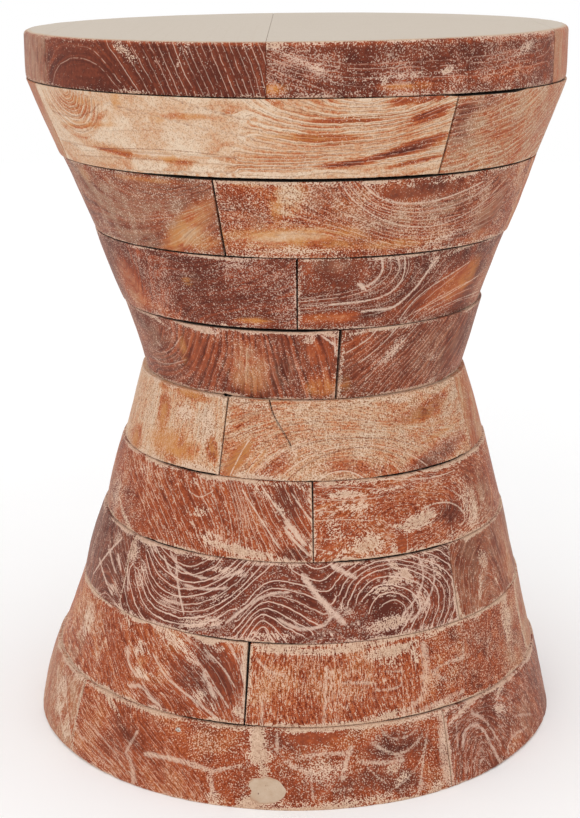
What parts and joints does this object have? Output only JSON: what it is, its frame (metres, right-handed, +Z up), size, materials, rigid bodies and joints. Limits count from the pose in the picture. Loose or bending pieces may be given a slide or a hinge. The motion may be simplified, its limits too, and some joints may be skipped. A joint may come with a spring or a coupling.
{
  "type": "accent table",
  "caption": "Round hourglass accent table, turned from stacked courses of glued wood blocks under a flat disc top, narrow at the waist.",
  "frame": {"origin": "on the floor, at the centre of the round base", "axes": "+Z up along the turned axis; -Y is the front seen in the picture; +X to its right"},
  "size_m": [0.3675, 0.3674, 0.4775],
  "materials": {
    "top_wood": "stained and limewashed, satin",
    "tan_wood": "limewashed, satin",
    "grey_tan_wood": "limewashed, satin",
    "red_brown_wood": "stained and limewashed, satin",
    "orange_red_wood": "stained and limewashed, satin",
    "maroon_wood": "stained and limewashed, satin",
    "tenon_wood": "bare",
    "plug_wood": "limewashed, matt",
    "nail_steel": "dull, darkened"
  },
  "bodies": {
    "root": {"course_1_block_1": "tan_wood", "course_1_block_2": "red_brown_wood", "course_1_block_3": "orange_red_wood", "course_1_block_4": "grey_tan_wood", "course_2_block_1": "red_brown_wood", "course_2_block_2": "tan_wood", "course_2_block_3": "maroon_wood", "course_2_block_4": "grey_tan_wood", "course_3_block_1": "red_brown_wood", "course_3_block_2": "tan_wood", "course_3_block_3": "orange_red_wood", "course_3_block_4": "maroon_wood", "course_4_block_1": "red_brown_wood", "course_4_block_2": "maroon_wood", "course_4_block_3": "tan_wood", "course_4_block_4": "maroon_wood", "course_5_block_1": "tan_wood", "course_5_block_2": "orange_red_wood", "course_5_block_3": "red_brown_wood", "course_5_block_4": "tan_wood", "course_6_block_1": "orange_red_wood", "course_6_block_2": "maroon_wood", "course_6_block_3": "tan_wood", "course_6_block_4": "orange_red_wood", "course_7_block_1": "maroon_wood", "course_7_block_2": "orange_red_wood", "course_7_block_3": "tan_wood", "course_7_block_4": "maroon_wood", "course_8_block_1": "orange_red_wood", "course_8_block_2": "grey_tan_wood", "course_8_block_3": "maroon_wood", "course_8_block_4": "red_brown_wood", "course_9_block_1": "orange_red_wood", "course_9_block_2": "maroon_wood", "course_9_block_3": "red_brown_wood", "course_9_block_4": "grey_tan_wood", "top_left_strip": "top_wood", "top_left_board": "top_wood", "top_right_board": "top_wood", "top_right_strip": "top_wood", "tenons_under_top": "tenon_wood", "tenons_course_1_to_2": "tenon_wood", "tenons_course_2_to_3": "tenon_wood", "tenons_course_3_to_4": "tenon_wood", "tenons_course_4_to_5": "tenon_wood", "tenons_course_5_to_6": "tenon_wood", "tenons_course_6_to_7": "tenon_wood", "tenons_course_7_to_8": "tenon_wood", "tenons_course_8_to_9": "tenon_wood", "brad_nail": "nail_steel", "knot_plug": "plug_wood"}
  },
  "joints": []
}
